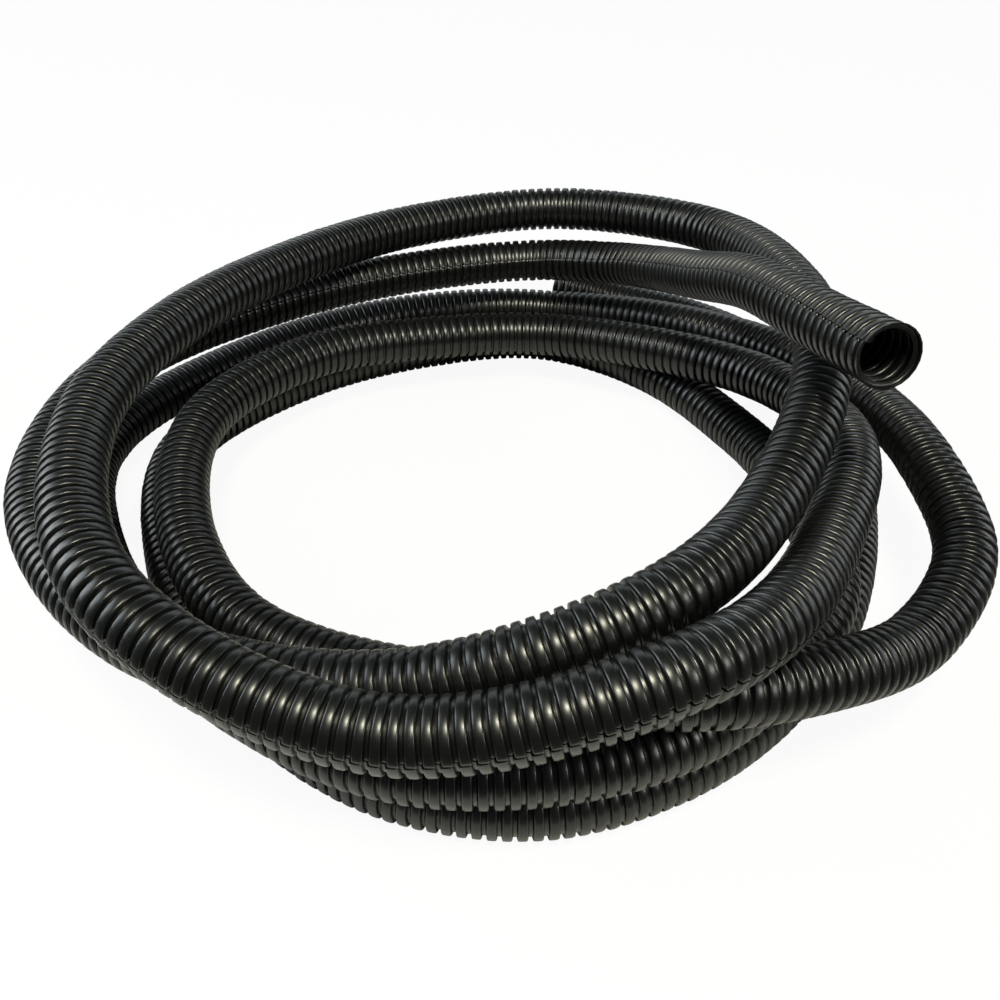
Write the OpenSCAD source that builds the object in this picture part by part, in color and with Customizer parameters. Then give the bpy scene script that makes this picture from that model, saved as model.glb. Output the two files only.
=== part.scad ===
// Split corrugated tube, lying loosely coiled in about five springy turns.
// Millimetres. The coil stands on z = 0, centred on the z axis, seen from above.
// The tube is one long extrusion. It is followed from its floor end, clockwise
// round the coil, to its raised open end.

/* [Tube] */
// Outside diameter over the ribs
outside_d = 24.4; // [23:0.1:24.4]
// Inside diameter, clear through the grooves
inside_d = 19.6; // [12:0.1:20]
// Thickness of the blown wall
wall = 0.7; // [0.4:0.1:1]
// Distance from one rib to the next
rib_pitch = 5; // [4:0.1:7]
// Share of the pitch that the flat top of a rib takes
rib_share = 0.56; // [0.4:0.01:0.7]

/* [Slit] */
// Width of the lengthwise slit at the two cut ends
slit_w = 0.8; // [0.4:0.1:2]
// How far the slit is turned from the top at the raised end, towards the coil
slit_turn_raised = 54; // [0:1:180]
// How far the slit is turned from the top at the floor end, away from the coil
slit_turn_floor = 118; // [0:1:180]

/* [Cut ends] */
// Ribs in the raised end's true corrugated length
raised_ribs = 5; // [2:1:8]
// Ribs in the floor end's true corrugated length
floor_ribs = 5; // [2:1:8]

/* [Wound form] */
// Ribs of the wound form in each metre of tube
form_ribs = 31; // [10:1:32]
// Depth of a rib of the wound form
form_rib_depth = 1; // [0.4:0.1:1.4]
// Least wall of the wound form under its grooves
form_wall = 1.6; // [1.2:0.1:3]

/* [Hidden] */

body_color = [0.10, 0.11, 0.10];
tube_r = outside_d / 2;
bore_r = inside_d / 2;
sides = 8;                       // sides of each ring of the wound form
lay = tube_r - outside_d / 10;   // height of the wound form's centre line where it lies, cut flat
middle = [8, -7, 0];               // where the turns' own centre lies, so that the part is centred
start_bearing = 80;              // where bearings are counted from, in degrees
eps = 0.01;

// Each turn, clockwise from the back: [degrees turned, distance from the centre, height].
turns = [
    [[14, 207, tube_r], [25, 208, tube_r], [42, 202, 11], [60, 189, lay], [90, 171, lay], [120, 171, lay],
     [150, 179, lay], [165, 182, lay], [180, 179, lay], [210, 165, lay], [240, 160, lay], [270, 169, lay],
     [300, 150, lay], [330, 140, lay]],
    [[0, 144, lay], [30, 137, lay], [60, 133, 12], [90, 141, 25], [120, 169, 36], [150, 182, 35],
     [180, 186, 35], [210, 180, 33], [240, 189, 20], [270, 212, lay], [300, 193, lay], [330, 184, lay]],
    [[0, 183, lay], [30, 175, 24], [60, 183, 37], [90, 194, 50], [105, 209, 45], [120, 205, 42],
     [135, 195, 54], [150, 184, 61], [165, 163, 52], [180, 152, 38], [210, 155, 36], [240, 150, 36],
     [270, 149, 35], [300, 131, 34], [330, 116, 30]],
    [[0, 119, 28], [30, 122, 34], [60, 143, 42], [90, 157, 58], [120, 163, 67], [150, 192, 88],
     [180, 201, 74], [210, 200, 91], [240, 174, 93], [270, 154, 87], [300, 154, 79], [330, 173, 73]],
    [[0, 195, 73], [30, 185, 82], [60, 151, 95], [90, 139, 98], [120, 141, 88], [150, 164, 88],
     [165, 171, 79], [180, 175, 65], [210, 194, 60], [240, 204, 58], [270, 194, 56], [300, 171, 51],
     [330, 165, 48]],
];

// The free stretch that leaves the coil and rises over it: [x, y, height].
rise = [
    [30, 171, 49], [68, 148, 58], [89, 112, 72], [101, 68, 90], [113, 18, 111], [125, -40, 125],
];
coil_tail_from_end = 2;          // the coil hands over to the tail this many points before the last

function unit(v) = v / norm(v);

function station(turn, s) =
    let (b = start_bearing - s[0] - 360 * turn)
    [s[1] * cos(b), s[1] * sin(b), s[2]];

coil_points = [for (t = [0:len(turns) - 1]) for (s = turns[t]) station(t, s)];
route = [for (p = concat(coil_points, rise)) p + middle];
last = len(route) - 1;
handover = last - coil_tail_from_end;

// Tangent of the route at a point: the directions of the two chords there, the shorter one counting more
function slope(i) =
    i == 0 ? unit(route[1] - route[0]) :
    i == last ? unit(route[last] - route[last - 1]) :
    let (before = norm(route[i] - route[i - 1]), after = norm(route[i + 1] - route[i]))
    (after * unit(route[i] - route[i - 1]) + before * unit(route[i + 1] - route[i])) / (before + after);

// A point between route[i] and route[i + 1], at the share u
function between(i, u) =
    let (chord = norm(route[i + 1] - route[i]))
    (2 * u ^ 3 - 3 * u ^ 2 + 1) * route[i]
    + (u ^ 3 - 2 * u ^ 2 + u) * chord * slope(i)
    + (3 * u ^ 2 - 2 * u ^ 3) * route[i + 1]
    + (u ^ 3 - u ^ 2) * chord * slope(i + 1);

// Ribs that the wound form has between two points of the route
function ribs_in(i) = max(1, round(norm(route[i + 1] - route[i]) / 1000 * form_ribs));

start_dir = unit(route[1] - route[0]);
end_dir = unit(route[last] - route[last - 1]);

// Ring centres of a stretch of the route, two to a rib, with both ends
function ring_centres(first, stop) = concat(
    [for (i = [first:stop - 1]) for (k = [0:2 * ribs_in(i) - 1]) between(i, k / (2 * ribs_in(i)))],
    [route[stop]]);

// The wound form's own ends run straight for one diameter beyond the route
coil_start = route[0] - outside_d * start_dir;
tail_end = route[last] + outside_d * end_dir;
coil_centres = concat([coil_start, coil_start + outside_d / 2 * start_dir], ring_centres(0, handover));
tail_centres = concat(ring_centres(handover, last), [tail_end - outside_d / 2 * end_dir, tail_end]);
all_centres = concat(coil_centres, [for (i = [1:len(tail_centres) - 1]) tail_centres[i]]);

// Direction of the centre line at ring i; the end rings stand square to what they meet
function ring_dir(c, i, first_dir, last_dir) =
    i == 0 ? first_dir :
    i == len(c) - 1 ? last_dir :
    unit(c[i + 1] - c[i - 1]);

// One ring of the wound form. What would reach below the floor is cut flat there.
function ring(c, dir, r) =
    let (side = unit(cross(dir, [0, 0, 1])), up = cross(side, dir))
    [for (k = [0:sides - 1])
        let (a = 360 * (k + 0.5) / sides, p = c + r * (cos(a) * side + sin(a) * up))
        [p[0], p[1], max(p[2], 0)]];

// Triangles that join two rings of a skin, given the number of each ring's first point
function band(a, b, out) =
    [for (k = [0:sides - 1])
        let (n = (k + 1) % sides)
        each out
            ? [[a + k, b + k, b + n], [a + k, b + n, a + n]]
            : [[a + k, b + n, b + k], [a + k, a + n, b + n]]];

// A ribbed tube with its bore, swept along the ring centres c as one closed skin
module ribbed_tube(c, first_dir, last_dir) {
    n = len(c);
    groove_r = tube_r - form_rib_depth;
    form_bore_r = min(bore_r, groove_r - form_wall / cos(180 / sides));
    outer = [for (i = [0:n - 1])
        each ring(c[i], ring_dir(c, i, first_dir, last_dir), i % 2 == 0 ? tube_r : groove_r)];
    inner_at = [for (i = [0:2:n - 1]) i];
    inner = [for (i = inner_at)
        each ring(c[i], ring_dir(c, i, first_dir, last_dir), form_bore_r)];
    base = n * sides;
    m = len(inner_at);
    faces = concat(
        [for (i = [0:n - 2]) each band(i * sides, (i + 1) * sides, true)],
        [for (i = [0:m - 2]) each band(base + i * sides, base + (i + 1) * sides, false)],
        band(0, base, false),
        band((n - 1) * sides, base + (m - 1) * sides, true));
    polyhedron(points = concat(outer, inner), faces = faces, convexity = 10);
}

// Shortest way from the point p to the line between a and b
function to_line(p, a, b) =
    let (u = max(0, min(1, (p - a) * (b - a) / ((b - a) * (b - a)))))
    norm(p - a - u * (b - a));

// Least gap between stretches of tube that lie beside or on each other
apart = 6;                       // rings that count as the same stretch
least_gap = min([for (i = [0:len(all_centres) - apart - 2]) for (j = [i + apart:len(all_centres) - 2])
    to_line(all_centres[i], all_centres[j], all_centres[j + 1])]) - outside_d;
function run_length(c) = [for (i = 0, s = 0; i < len(c); s = s + (i < len(c) - 1 ? norm(c[i + 1] - c[i]) : 0),
    i = i + 1) s][len(c) - 1];
raised_len = raised_ribs * rib_pitch;
floor_len = floor_ribs * rib_pitch;
echo(least_gap_mm = least_gap, tube_length_mm = run_length(all_centres) + raised_len + floor_len,
    wound_ribs = (len(all_centres) - 1) / 2);

// True corrugated wall along +z, ribs first, with its bore and its slit towards +x
module corrugated_end(ribs) {
    flat = rib_pitch * rib_share;
    ramp = (rib_pitch - flat) / 4;
    groove_r = bore_r + wall;
    inside_rib = tube_r - wall;
    outer = [for (i = [0:ribs - 1]) each [
        [groove_r, i * rib_pitch],
        [groove_r, i * rib_pitch + ramp],
        [tube_r, i * rib_pitch + 2 * ramp],
        [tube_r, i * rib_pitch + 2 * ramp + flat],
        [groove_r, i * rib_pitch + 3 * ramp + flat]]];
    inner = [for (i = [ribs - 1:-1:0]) each [
        [bore_r, i * rib_pitch + 3 * ramp + flat + wall / 4],
        [inside_rib, i * rib_pitch + 2 * ramp + flat - wall / 4],
        [inside_rib, i * rib_pitch + 2 * ramp + wall / 4],
        [bore_r, i * rib_pitch + ramp - wall / 4],
        [bore_r, i * rib_pitch]]];
    difference() {
        rotate_extrude($fn = 96)
            polygon(concat(outer, [[groove_r, ribs * rib_pitch], [bore_r, ribs * rib_pitch]], inner));
        translate([0, -slit_w / 2, -eps])
            cube([tube_r + 1, slit_w, ribs * rib_pitch + 2 * eps]);
    }
}

// Turns +z to the direction dir, with +x towards the top of the tube before the spin
module aim(dir, spin) {
    rotate([0, 0, atan2(dir[1], dir[0])])
        rotate([0, acos(dir[2]), 0])
            rotate([0, 0, 180 + spin])
                children();
}

module coil() {
    color(body_color)
        ribbed_tube(coil_centres, start_dir, unit(route[handover + 1] - route[handover - 1]));
}

module tail() {
    color(body_color)
        ribbed_tube(tail_centres, unit(route[handover + 1] - route[handover - 1]), end_dir);
}

module raised_end() {
    color(body_color)
        translate(tail_end)
            aim(end_dir, slit_turn_raised)
                corrugated_end(raised_ribs);
}

module floor_end() {
    color(body_color)
        translate(coil_start)
            aim(-start_dir, slit_turn_floor)
                corrugated_end(floor_ribs);
}

coil();
tail();
raised_end();
floor_end();
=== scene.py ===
"""Split corrugated tube, loosely coiled: its looks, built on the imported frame. Metres, Z up."""
import math

import bpy
import numpy as np
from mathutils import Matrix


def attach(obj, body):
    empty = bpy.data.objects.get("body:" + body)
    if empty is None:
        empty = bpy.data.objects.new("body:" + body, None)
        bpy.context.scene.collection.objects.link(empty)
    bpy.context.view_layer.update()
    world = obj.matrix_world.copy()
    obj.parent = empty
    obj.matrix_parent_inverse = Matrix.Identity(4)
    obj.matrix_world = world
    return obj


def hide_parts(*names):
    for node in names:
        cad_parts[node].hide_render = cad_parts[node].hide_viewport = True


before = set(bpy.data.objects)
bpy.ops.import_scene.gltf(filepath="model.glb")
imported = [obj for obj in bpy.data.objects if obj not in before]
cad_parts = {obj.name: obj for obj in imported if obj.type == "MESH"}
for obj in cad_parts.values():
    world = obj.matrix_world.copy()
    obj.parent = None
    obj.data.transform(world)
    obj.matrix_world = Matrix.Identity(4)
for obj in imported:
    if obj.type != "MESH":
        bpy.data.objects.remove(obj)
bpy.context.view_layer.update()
collection = bpy.context.scene.collection

# ---------------------------------------------------------------- the tube's sizes
OUTSIDE_R = 0.0122
BORE_R = 0.0098
WALL = 0.0007
GROOVE_R = BORE_R + WALL                     # outside of the wall in a groove
PITCH = 0.005
CUT_LEN = 0.025                              # true corrugated length at each end
RIB_UNEVEN = 0.004                           # how much the ribs differ, as a share of their radius
LIP_FLARE = 0.00006                          # how far the outer lip's edge stands up
LIP_DIP = 0.00005                            # how far the inner lip sinks ahead of it
LIP_UNDER = 0.0018                           # how much further the inner lip goes down to lie under it
FLOOR = OUTSIDE_R                            # height of the centre line where the tube lies
MIDDLE = np.array([0.008, -0.007, 0.0])      # the turns' own centre
LIFT = 0.00244                               # a round tube's centre line lies so much above the cut form's

# ---------------------------------------------------------------- camera
FOCAL_PX = 930.0
FRAME_PX = 1000.0
SENSOR_MM = 36.0
LOOKS_DOWN = 40                              # degrees below level
CAMERA_BACK = 0.365                          # from the turns' centre
CAMERA_UP = 0.305
cam_data = bpy.data.cameras.new("camera")
cam_data.sensor_width = SENSOR_MM
cam_data.lens = SENSOR_MM * FOCAL_PX / FRAME_PX
cam_data.clip_start = 0.01
cam_data.clip_end = 30.0
cam = bpy.data.objects.new("camera", cam_data)
cam.location = (MIDDLE[0], MIDDLE[1] - CAMERA_BACK, CAMERA_UP + LIFT)
cam.rotation_euler = (math.radians(90 - LOOKS_DOWN), 0, 0)
collection.objects.link(cam)
bpy.context.scene.camera = cam

# ---------------------------------------------------------------- the route, as in the part's source
LAY = FLOOR - LIFT
START_BEARING = 80.0
# Each turn, clockwise from the back: (degrees turned, distance from the centre, height)
TURNS = [
    [(14, .207, FLOOR), (25, .208, FLOOR), (42, .202, .011), (60, .189, LAY), (90, .171, LAY),
     (120, .171, LAY), (150, .179, LAY), (165, .182, LAY), (180, .179, LAY), (210, .165, LAY),
     (240, .160, LAY), (270, .169, LAY), (300, .150, LAY), (330, .140, LAY)],
    [(0, .144, LAY), (30, .137, LAY), (60, .133, .012), (90, .141, .025), (120, .169, .036),
     (150, .182, .035), (180, .186, .035), (210, .180, .033), (240, .189, .020), (270, .212, LAY),
     (300, .193, LAY), (330, .184, LAY)],
    [(0, .183, LAY), (30, .175, .024), (60, .183, .037), (90, .194, .050), (105, .209, .045),
     (120, .205, .042), (135, .195, .054), (150, .184, .061), (165, .163, .052), (180, .152, .038),
     (210, .155, .036), (240, .150, .036), (270, .149, .035), (300, .131, .034), (330, .116, .030)],
    [(0, .119, .028), (30, .122, .034), (60, .143, .042), (90, .157, .058), (120, .163, .067),
     (150, .192, .088), (180, .201, .074), (210, .200, .091), (240, .174, .093), (270, .154, .087),
     (300, .154, .079), (330, .173, .073)],
    [(0, .195, .073), (30, .185, .082), (60, .151, .095), (90, .139, .098), (120, .141, .088),
     (150, .164, .088), (165, .171, .079), (180, .175, .065), (210, .194, .060), (240, .204, .058),
     (270, .194, .056), (300, .171, .051), (330, .165, .048)],
]
# The free stretch that leaves the coil and rises over it: (x, y, height)
RISE = [(.030, .171, .049), (.068, .148, .058), (.089, .112, .072), (.101, .068, .090), (.113, .018, .111),
        (.125, -.040, .125)]
RISE_START = 1800                            # degrees turned where it begins
RISE_STEP = 14                               # degrees that a further point, or a straight end, counts for
SMOOTH_STEPS = 48                            # steps of the centre line between two points of the route
AIM_SPAN = 0.002                             # the tube's direction is taken this far to either side


def route_points():
    """The route's points in the row frame, and the degrees turned at each."""
    points, turned = [], []
    for t, row in enumerate(TURNS):
        for s, r, z in row:
            bearing = math.radians(START_BEARING - s - 360 * t)
            points.append((r * math.cos(bearing), r * math.sin(bearing), max(z + LIFT, FLOOR)))
            turned.append(s + 360 * t)
    points[0] = (points[0][0], points[0][1], FLOOR)
    points[1] = (points[1][0], points[1][1], FLOOR)
    for k, (x, y, z) in enumerate(RISE):
        points.append((x, y, z + LIFT))
        turned.append(RISE_START + RISE_STEP * k)
    return np.array(points) + MIDDLE, np.array(turned, float)


def unit(v):
    return v / np.linalg.norm(v, axis=-1, keepdims=True)


def centre_line():
    """A fine centre line from the floor end to the raised end, and the degrees turned along it."""
    P, turned = route_points()
    chord = np.linalg.norm(np.diff(P, axis=0), axis=1)
    slope = np.empty_like(P)
    slope[0] = (P[1] - P[0]) / chord[0]
    slope[-1] = (P[-1] - P[-2]) / chord[-1]
    for i in range(1, len(P) - 1):
        a, b = chord[i - 1], chord[i]
        slope[i] = (b * (P[i] - P[i - 1]) / a + a * (P[i + 1] - P[i]) / b) / (a + b)
    straight = 2 * OUTSIDE_R + CUT_LEN
    line = [P[0] - straight * slope[0]]
    at = [turned[0] - RISE_STEP]
    for i in range(len(P) - 1):
        for u in np.linspace(0, 1, SMOOTH_STEPS, endpoint=False):
            line.append((2 * u**3 - 3 * u**2 + 1) * P[i] + (u**3 - 2 * u**2 + u) * chord[i] * slope[i]
                        + (3 * u**2 - 2 * u**3) * P[i + 1] + (u**3 - u**2) * chord[i] * slope[i + 1])
            at.append(turned[i] * (1 - u) + turned[i + 1] * u)
    line.append(P[-1])
    at.append(turned[-1])
    line.append(P[-1] + straight * slope[-1])
    at.append(turned[-1] + RISE_STEP)
    return np.array(line), np.array(at)


def rings_at(line, turned, where):
    """Centre, direction and degrees turned at each distance along the line."""
    run = np.r_[0, np.cumsum(np.linalg.norm(np.diff(line, axis=0), axis=1))]

    def point_at(s):
        return np.stack([np.interp(s, run, line[:, k]) for k in range(3)], -1)

    back = point_at(np.maximum(where - AIM_SPAN, 0))
    front = point_at(np.minimum(where + AIM_SPAN, run[-1]))
    return point_at(where), unit(front - back), np.interp(where, run, turned)


LINE, TURNED = centre_line()
LINE[:, 2] = np.maximum(LINE[:, 2], FLOOR)
RUN = float(np.linalg.norm(np.diff(LINE, axis=0), axis=1).sum())
RIBS = int(round(RUN / PITCH)) + 1
STEP = RUN / (RIBS - 1)

# One rib along the tube: (share of the pitch, height between the groove's floor and the rib's top)
RIB = [(0.02, 0.0), (0.14, 0.06), (0.26, 0.0), (0.295, 0.55), (0.335, 0.90), (0.42, 0.985), (0.63, 1.0),
       (0.84, 0.985), (0.925, 0.90), (0.965, 0.55)]
CUT_ROW = 6                                  # both ends are cut through a rib's top, which is this row

# Where the slit lies round the tube: degrees turned along the coil, degrees from the top, outwards positive
SLIT = [(0, 118), (150, 118), (230, 120), (300, 135), (420, 150), (640, 150), (760, 128), (860, 127),
        (1000, 112), (1180, 88), (1230, 86), (1300, 86), (1380, 95), (1440, 140), (1500, 195), (1560, 236),
        (1610, 290), (1626, 312), (1640, 316), (1660, 300), (1840, 298), (1858, 300), (1868, 313),
        (1882, 303)]
# How far one lip reaches over the other, in degrees round the tube; below 0 the slit stands open
LAP = [(0, 10), (150, 10), (175, 2), (190, -7), (225, -7), (240, 8), (270, 13), (1900, 13)]
# How far the lips have slid along each other, as a share of the pitch
SLID = [(0, 0.08), (1800, 0.08), (1840, 0.30), (1900, 0.30)]


def along(table, x):
    """The value of one of the tables above, at the degrees turned x."""
    return np.interp(x, [a for a, _ in table], [b for _, b in table])


def smooth(x):
    """A soft step from 0 to 1."""
    x = np.clip(x, 0, 1)
    return x * x * (3 - 2 * x)


def skin(where, height, rib, inner):
    """Rings of one skin of the wall: rows follow the tube, columns go round it from lip to lip."""
    rng = np.random.default_rng(7)
    c, ahead, turned = rings_at(LINE, TURNED, where)
    out = unit(np.cross(np.array([0, 0, 1.0]), ahead))
    up = np.cross(ahead, out)
    slit = np.radians(along(SLIT, turned))[:, None]
    lap = along(LAP, turned)[:, None]
    u = columns_round(lap)
    theta = slit + np.radians(u)
    # the ribs of the two lips stand a little apart lengthwise, as the lips have slid on each other
    slid = STEP * along(SLID, turned)[:, None] * (0.5 - u / 360) * np.clip(lap / 12, 0, 1)
    tuck = LIP_DIP * smooth((u - 348) / 12) + LIP_UNDER * smooth((u - 358.5) / 6)
    drop = tuck * np.clip(lap / 10, 0.15, 1)
    flare = LIP_FLARE * smooth(1 - u / 20)
    r = GROOVE_R + (OUTSIDE_R - GROOVE_R) * height[:, None] - drop + flare
    if inner:
        r = r - WALL
    r = r * (1 + RIB_UNEVEN * rng.standard_normal(RIBS)[rib][:, None])
    spoke = np.cos(theta)[..., None] * up[:, None, :] + np.sin(theta)[..., None] * out[:, None, :]
    return c[:, None, :] + slid[..., None] * ahead[:, None, :] + r[..., None] * spoke


def tube_rows():
    """Distance along the tube, height on the rib and rib number of each row of vertices."""
    where, height, rib = [], [], []
    for k in range(RIBS):
        for row, (share, h) in enumerate(RIB):
            if (k == 0 and row < CUT_ROW) or (k == RIBS - 1 and row > CUT_ROW):
                continue
            where.append((k + share - RIB[CUT_ROW][0]) * STEP)
            height.append(h)
            rib.append(k)
    return np.array(where), np.array(height), np.array(rib)


def columns_round(lap):
    """Degrees round the tube of each column, from the outer lip's edge to the inner lip's."""
    wide = np.r_[0, 6, np.linspace(20, 346, 22)]
    last = 346 + (14 + lap) * np.array([0.26, 0.45, 0.54, 0.63, 0.78, 1.0])
    return np.concatenate([np.broadcast_to(wide, (len(lap), len(wide))), last], 1)


def strip(a, b, flip):
    """Quads between two lines of vertex numbers."""
    q = np.stack([a[:-1], b[:-1], b[1:], a[1:]], -1)
    return q[:, ::-1] if flip else q


# The bake sheet: the tube is laid out in strips, each with its outside, its inside and the two lips' edges
STRIPS = 13
STRIP_RIBS = math.ceil(RIBS / STRIPS)
OUTSIDE_SHARE = (0.02, 0.78)
INSIDE_SHARE = (0.86, 0.94)
LIP_SHARES = ((0.80, 0.82), (0.96, 0.98))
SHEET_LEFT = 0.004
SHEET_WIDTH = 0.99
STRIPS_TOP = 0.965
END_BANDS = (0.972, 0.986)                   # where the wall's two cut faces lie, above the strips
END_BAND_HEIGHT = 0.01
INSIDE_COLUMNS = [0, 4, 8, 12, 16, 20, 24]   # the inside's columns away from the ends, besides the last one
END_RIBS = 26                                # ribs at each end that keep all the inside's columns


def sheet_spots(rows, shares):
    """Places on the bake sheet of the faces' corners, from their rows and their shares of a strip's height."""
    steps = np.array([x for x, _ in RIB] + [1 + RIB[0][0]])
    rise = np.array([h for _, h in RIB] + [RIB[0][1]]) * (OUTSIDE_R - GROOVE_R) / STEP
    run = np.r_[0, np.cumsum(np.hypot(np.diff(steps), np.diff(rise)))]
    run /= run[-1]
    rib, row = np.divmod(rows + CUT_ROW, len(RIB))
    strip_of = (rib.min(1) // STRIP_RIBS)[:, None]
    x = SHEET_LEFT + SHEET_WIDTH * (rib + run[row] - strip_of * STRIP_RIBS) / STRIP_RIBS
    y = STRIPS_TOP * (strip_of + shares) / STRIPS
    return np.stack([x, y], -1)


def build_tube():
    """The tube's wall: vertices, faces and the faces' places on the bake sheet."""
    where, height, rib = tube_rows()
    outer = skin(where, height, rib, False)
    inner = skin(where, height, rib, True)
    rows, columns = outer.shape[:2]
    base = rows * columns
    every = list(range(columns))
    fewer = INSIDE_COLUMNS + [columns - 1]
    end_rows = len(RIB) * END_RIBS
    faces, spots = [], []

    def add(a, b, flip, share_a, share_b):
        """A band of faces between two lines of vertices that run along the tube."""
        quad = strip(a, b, flip)
        share = strip(np.full(len(a), share_a), np.full(len(b), share_b), flip)
        faces.append(quad)
        spots.append(sheet_spots((quad % base) // columns, share))

    def across(shares, column):
        return shares[0] + (shares[1] - shares[0]) * column / (columns - 1)

    outside = np.arange(base).reshape(rows, columns)
    inside = outside + base
    for a, b in zip(every[:-1], every[1:]):
        add(outside[:, a], outside[:, b], True, across(OUTSIDE_SHARE, a), across(OUTSIDE_SHARE, b))
    for first, last, some in ((0, end_rows, every), (end_rows, rows - 1 - end_rows, fewer),
                              (rows - 1 - end_rows, rows - 1, every)):
        for a, b in zip(some[:-1], some[1:]):
            add(inside[first:last + 1, a], inside[first:last + 1, b], False,
                across(INSIDE_SHARE, a), across(INSIDE_SHARE, b))
    add(outside[:, 0], inside[:, 0], False, *LIP_SHARES[0])
    add(outside[:, -1], inside[:, -1], True, *LIP_SHARES[1])
    # the wall's two cut faces lie in bands of their own, along the sheet's top
    x = np.linspace(0.01, 0.99, columns)
    for row, flip, low in ((0, True, END_BANDS[0]), (rows - 1, False, END_BANDS[1])):
        faces.append(strip(outside[row], inside[row], flip))
        y = strip(np.full(columns, low), np.full(columns, low + END_BAND_HEIGHT), flip)
        spots.append(np.stack([strip(x, x, flip), y], -1))
    verts = np.concatenate([outer.reshape(-1, 3), inner.reshape(-1, 3)])
    verts[:, 2] = np.maximum(verts[:, 2], 0)
    faces = np.concatenate(faces)
    used = np.unique(faces)
    renumber = np.full(len(verts), -1)
    renumber[used] = np.arange(len(used))
    return verts[used], renumber[faces], np.concatenate(spots)


def mesh_object(name, verts, faces, spots):
    """A smooth-shaded object of quads, with its bake sheet."""
    me = bpy.data.meshes.new(name)
    me.vertices.add(len(verts))
    me.vertices.foreach_set("co", verts.astype(np.float32).ravel())
    me.loops.add(faces.size)
    me.loops.foreach_set("vertex_index", faces.astype(np.int32).ravel())
    me.polygons.add(len(faces))
    me.polygons.foreach_set("loop_start", np.arange(0, faces.size, 4, dtype=np.int32))
    me.update(calc_edges=True)
    me.polygons.foreach_set("use_smooth", np.ones(len(faces), bool))
    sheet = me.uv_layers.new(name="OFBake")
    sheet.data.foreach_set("uv", spots.astype(np.float32).ravel())
    me.validate()
    me.set_sharp_from_angle(angle=math.radians(85))
    ob = bpy.data.objects.new(name, me)
    collection.objects.link(ob)
    return ob


tube = mesh_object("tube", *build_tube())


# ---------------------------------------------------------------- material
def nodes_of(name):
    """A new material, its node tree and its Principled BSDF."""
    m = bpy.data.materials.new(name)
    m.use_nodes = True
    nt = m.node_tree
    nt.nodes.clear()
    out = nt.nodes.new("ShaderNodeOutputMaterial")
    bsdf = nt.nodes.new("ShaderNodeBsdfPrincipled")
    nt.links.new(bsdf.outputs[0], out.inputs[0])
    return m, nt, bsdf


def noise(nt, scale, detail, rough, vector):
    n = nt.nodes.new("ShaderNodeTexNoise")
    n.inputs["Scale"].default_value = scale
    n.inputs["Detail"].default_value = detail
    n.inputs["Roughness"].default_value = rough
    nt.links.new(vector, n.inputs["Vector"])
    return n


def ramp(nt, source, low, high):
    """A colour between two stops, each (position, colour)."""
    r = nt.nodes.new("ShaderNodeValToRGB")
    for stop, (position, colour) in zip(r.color_ramp.elements, (low, high)):
        stop.position = position
        stop.color = (*colour, 1)
    nt.links.new(source, r.inputs[0])
    return r


def spread(nt, source, low, high, low_in, high_in):
    """A value moved from the range low_in to high_in onto the range low to high."""
    m = nt.nodes.new("ShaderNodeMapRange")
    m.inputs["From Min"].default_value = low_in
    m.inputs["From Max"].default_value = high_in
    m.inputs["To Min"].default_value = low
    m.inputs["To Max"].default_value = high
    nt.links.new(source, m.inputs["Value"])
    return m


plastic, nt, bsdf = nodes_of("black_plastic")
coords = nt.nodes.new("ShaderNodeTexCoord").outputs["Object"]
broad = noise(nt, 22, 3, 0.55, coords)
fine = noise(nt, 900, 4, 0.6, coords)
colour = ramp(nt, broad.outputs["Fac"], (0.30, (0.0022, 0.0028, 0.0025)), (0.72, (0.0036, 0.0043, 0.0039)))
nt.links.new(colour.outputs[0], bsdf.inputs["Base Color"])
rough = spread(nt, fine.outputs["Fac"], 0.3, 0.36, 0.3, 0.7)
nt.links.new(rough.outputs[0], bsdf.inputs["Roughness"])
bsdf.inputs["IOR"].default_value = 1.6
bump = nt.nodes.new("ShaderNodeBump")
bump.inputs["Strength"].default_value = 0.05
bump.inputs["Distance"].default_value = 0.0001
nt.links.new(fine.outputs["Fac"], bump.inputs["Height"])
nt.links.new(bump.outputs[0], bsdf.inputs["Normal"])
tube.data.materials.append(plastic)

# ---------------------------------------------------------------- floor, light
GLOW_SHARE = 0.93                            # for the camera; the rest of the floor's white takes the shadow
FLOOR_HALF = 4.0
FLOOR_DROP = 0.0002                          # the floor lies this far under the tube
floor_mat, fnt, fb = nodes_of("floor")
fb.inputs["Roughness"].default_value = 0.55
glow = fnt.nodes.new("ShaderNodeEmission")
glow.inputs["Color"].default_value = (1, 1, 1, 1)
glow.inputs["Strength"].default_value = 1.0
seen = fnt.nodes.new("ShaderNodeLightPath")
share = fnt.nodes.new("ShaderNodeMath")
share.operation = "MULTIPLY"
share.inputs[1].default_value = GLOW_SHARE
fnt.links.new(seen.outputs["Is Camera Ray"], share.inputs[0])
# for what the tube mirrors, the white sheet under the coil ends 0.3 m from the middle; for the camera it
# ends nowhere
place = fnt.nodes.new("ShaderNodeTexCoord").outputs["Object"]
away = fnt.nodes.new("ShaderNodeVectorMath")
away.operation = "LENGTH"
fnt.links.new(place, away.inputs[0])
near = spread(fnt, away.outputs["Value"], 0.7, 0.0, 0.27, 0.32)
lit = fnt.nodes.new("ShaderNodeMath")
lit.operation = "MAXIMUM"
fnt.links.new(seen.outputs["Is Camera Ray"], lit.inputs[0])
fnt.links.new(near.outputs[0], lit.inputs[1])
tint = ramp(fnt, lit.outputs[0], (0.0, (0.06, 0.06, 0.06)), (1.0, (0.93, 0.93, 0.93)))
fnt.links.new(tint.outputs[0], fb.inputs["Base Color"])
fmix = fnt.nodes.new("ShaderNodeMixShader")
fnt.links.new(share.outputs[0], fmix.inputs[0])
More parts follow.
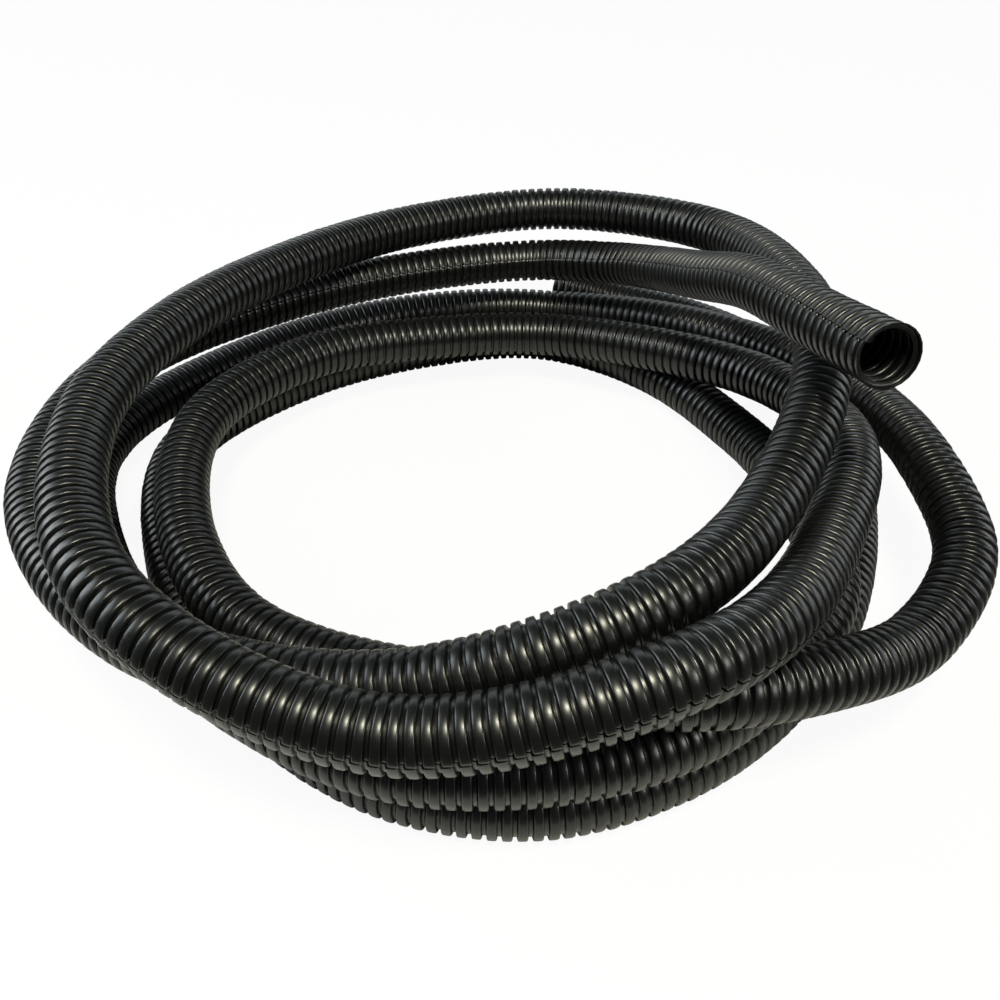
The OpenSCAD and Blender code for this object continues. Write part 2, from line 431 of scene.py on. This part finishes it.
fnt.links.new(fb.outputs[0], fmix.inputs[1])
fnt.links.new(glow.outputs[0], fmix.inputs[2])
fnt.links.new(fmix.outputs[0], fnt.nodes["Material Output"].inputs[0])
me = bpy.data.meshes.new("floor")
corners = [(-FLOOR_HALF, -FLOOR_HALF, 0), (FLOOR_HALF, -FLOOR_HALF, 0),
           (FLOOR_HALF, FLOOR_HALF, 0), (-FLOOR_HALF, FLOOR_HALF, 0)]
me.from_pydata(corners, [], [(0, 1, 2, 3)])
floor = bpy.data.objects.new("floor", me)
floor.location = (0, 0, -FLOOR_DROP)
me.materials.append(floor_mat)
collection.objects.link(floor)


def area(name, size_x, size_y, power, colour, place, aim):
    """A lamp in the form of a panel at place, facing the point aim."""
    li = bpy.data.lights.new(name, "AREA")
    li.shape = "RECTANGLE"
    li.size = size_x
    li.size_y = size_y
    li.energy = power
    li.color = colour
    ob = bpy.data.objects.new(name, li)
    ob.location = place
    d = np.array(place) - np.array(aim)
    yaw = math.atan2(d[1], d[0])
    tilt = math.acos(d[2] / np.linalg.norm(d))
    ob.rotation_euler = (0, tilt, yaw)
    collection.objects.link(ob)


area("ceiling_lamp", 0.28, 0.28, 18.5, (1.0, 0.98, 0.78), (0.05, -0.62, 1.4), (0, -0.15, 0))
area("window", 1.3, 1.0, 17.5, (0.87, 0.96, 1.0), (-1.5, 0.1, 0.95), (0, 0, 0.05))
area("room", 0.4, 0.4, 7.0, (1.0, 0.98, 0.90), (1.3, -0.9, 1.0), (0.1, -0.05, 0.1))
area("back_wall", 1.0, 3.0, 8.0, (0.90, 0.97, 1.0), (0.0, 2.0, 0.6), (0, 0, 0.1))
area("left_wall", 0.8, 1.6, 9.0, (0.96, 0.98, 0.97), (-2.0, 0.8, 0.45), (0, 0, 0.1))
area("right_wall", 0.8, 1.6, 7.0, (0.92, 0.98, 1.0), (2.0, 0.8, 0.45), (0, 0, 0.1))

world = bpy.data.worlds.new("world")
bpy.context.scene.world = world
world.use_nodes = True
wn = world.node_tree
wn.nodes.clear()
wout = wn.nodes.new("ShaderNodeOutputWorld")
soft = wn.nodes.new("ShaderNodeBackground")
white = wn.nodes.new("ShaderNodeBackground")
soft.inputs["Color"].default_value = (0.88, 0.98, 1.0, 1)
soft.inputs["Strength"].default_value = 0.06
white.inputs["Color"].default_value = (1, 1, 1, 1)
white.inputs["Strength"].default_value = 1.0
path = wn.nodes.new("ShaderNodeLightPath")
mix = wn.nodes.new("ShaderNodeMixShader")
wn.links.new(path.outputs["Is Camera Ray"], mix.inputs[0])
wn.links.new(soft.outputs[0], mix.inputs[1])
wn.links.new(white.outputs[0], mix.inputs[2])
wn.links.new(mix.outputs[0], wout.inputs[0])

bpy.context.scene.view_settings.view_transform = "Standard"

# ---------------------------------------------------------------- onto the frame
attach(tube, "root")
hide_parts("coil", "tail", "raised_end", "floor_end")
PATH_STEP = 0.01
PATH = rings_at(LINE, TURNED, np.linspace(0, RUN, 1 + int(RUN / PATH_STEP)))[0]
